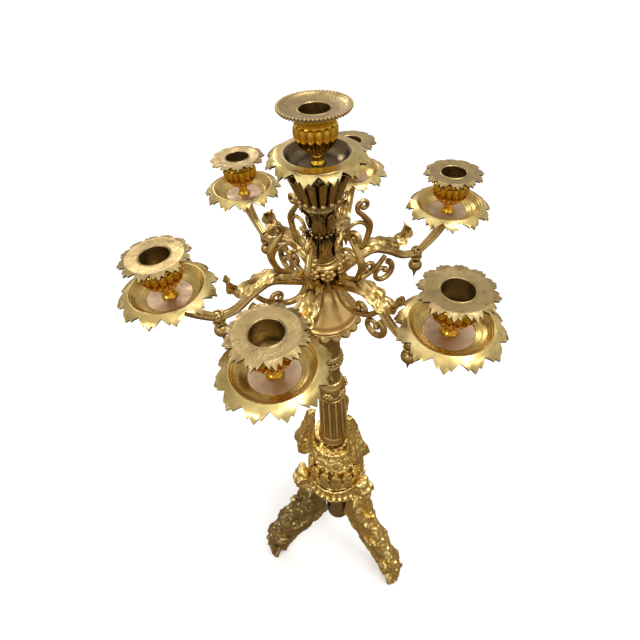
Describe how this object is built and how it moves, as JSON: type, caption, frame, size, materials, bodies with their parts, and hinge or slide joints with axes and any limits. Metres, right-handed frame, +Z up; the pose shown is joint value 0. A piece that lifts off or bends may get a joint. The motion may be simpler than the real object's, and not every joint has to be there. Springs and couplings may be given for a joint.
{
  "type": "candelabrum",
  "caption": "Tall branched candelabrum of cast gilt brass: scrolled arms with drip pans and lift-out candle nozzles round a middle light, on a beaded column and tripod foot.",
  "frame": {"origin": "on the floor, on the axis of the column", "axes": "+Z up the column; arm 3 points along +Y and arm 6 along -Y; feet at -150, -30 and 90 degrees"},
  "size_m": [0.2923, 0.3368, 0.7904],
  "materials": {
    "base_gilt": "bright gilt casting, rough foliate texture, dark in the recesses",
    "column_brass": "aged gilt brass with brown patina in the recesses",
    "bell_gilt": "smooth polished gilt",
    "arm_brass": "antique cast brass, worn bright on the edges, brown in the recesses",
    "pan_brass": "satin aged brass with brown and greenish patina",
    "cup_gilt": "burnished deep yellow gilt",
    "nozzle_brass": "satin pale brass, dull and stained",
    "steel": "plain turned steel, hidden"
  },
  "bodies": {
    "stand": {"leg_1": "base_gilt", "leg_2": "base_gilt", "leg_3": "base_gilt", "leg_screws": "steel", "base_core": "base_gilt", "base_collar": "base_gilt", "base_spool": "base_gilt", "knop": "base_gilt", "crown": "base_gilt", "shaft_ring": "column_brass", "shaft": "column_brass", "floral_collar": "column_brass", "lower_neck": "column_brass", "pearl_ring": "column_brass", "upper_neck": "column_brass", "leaf_collar": "column_brass", "bell": "bell_gilt", "arm_hub": "arm_brass", "arm_screws": "steel", "upper_stem": "arm_brass", "calyx": "arm_brass", "centre_pan": "pan_brass", "centre_cup": "cup_gilt", "tie_rod": "steel", "tie_washer": "steel", "tie_nut": "steel", "arm_1": "arm_brass", "pendant_1": "arm_brass", "drip_pan_1": "pan_brass", "candle_cup_1": "cup_gilt", "arm_2": "arm_brass", "pendant_2": "arm_brass", "drip_pan_2": "pan_brass", "candle_cup_2": "cup_gilt", "arm_3": "arm_brass", "pendant_3": "arm_brass", "drip_pan_3": "pan_brass", "candle_cup_3": "cup_gilt", "arm_4": "arm_brass", "pendant_4": "arm_brass", "drip_pan_4": "pan_brass", "candle_cup_4": "cup_gilt", "arm_5": "arm_brass", "pendant_5": "arm_brass", "drip_pan_5": "pan_brass", "candle_cup_5": "cup_gilt", "arm_6": "arm_brass", "pendant_6": "arm_brass", "drip_pan_6": "pan_brass", "candle_cup_6": "cup_gilt"},
    "centre_nozzle": {"centre_nozzle": "nozzle_brass"},
    "nozzle_1": {"nozzle_1": "nozzle_brass"},
    "nozzle_2": {"nozzle_2": "nozzle_brass"},
    "nozzle_3": {"nozzle_3": "nozzle_brass"},
    "nozzle_4": {"nozzle_4": "nozzle_brass"},
    "nozzle_5": {"nozzle_5": "nozzle_brass"},
    "nozzle_6": {"nozzle_6": "nozzle_brass"}
  },
  "joints": [
    {"name": "lift_centre_nozzle", "type": "slide", "parent": "stand", "child": "centre_nozzle", "axis": [0, 0, 1], "range_m": [0, 0.05]},
    {"name": "lift_nozzle_1", "type": "slide", "parent": "stand", "child": "nozzle_1", "axis": [0, 0, 1], "range_m": [0, 0.05]},
    {"name": "lift_nozzle_2", "type": "slide", "parent": "stand", "child": "nozzle_2", "axis": [0, 0, 1], "range_m": [0, 0.05]},
    {"name": "lift_nozzle_3", "type": "slide", "parent": "stand", "child": "nozzle_3", "axis": [0, 0, 1], "range_m": [0, 0.05]},
    {"name": "lift_nozzle_4", "type": "slide", "parent": "stand", "child": "nozzle_4", "axis": [0, 0, 1], "range_m": [0, 0.05]},
    {"name": "lift_nozzle_5", "type": "slide", "parent": "stand", "child": "nozzle_5", "axis": [0, 0, 1], "range_m": [0, 0.05]},
    {"name": "lift_nozzle_6", "type": "slide", "parent": "stand", "child": "nozzle_6", "axis": [0, 0, 1], "range_m": [0, 0.05]}
  ]
}
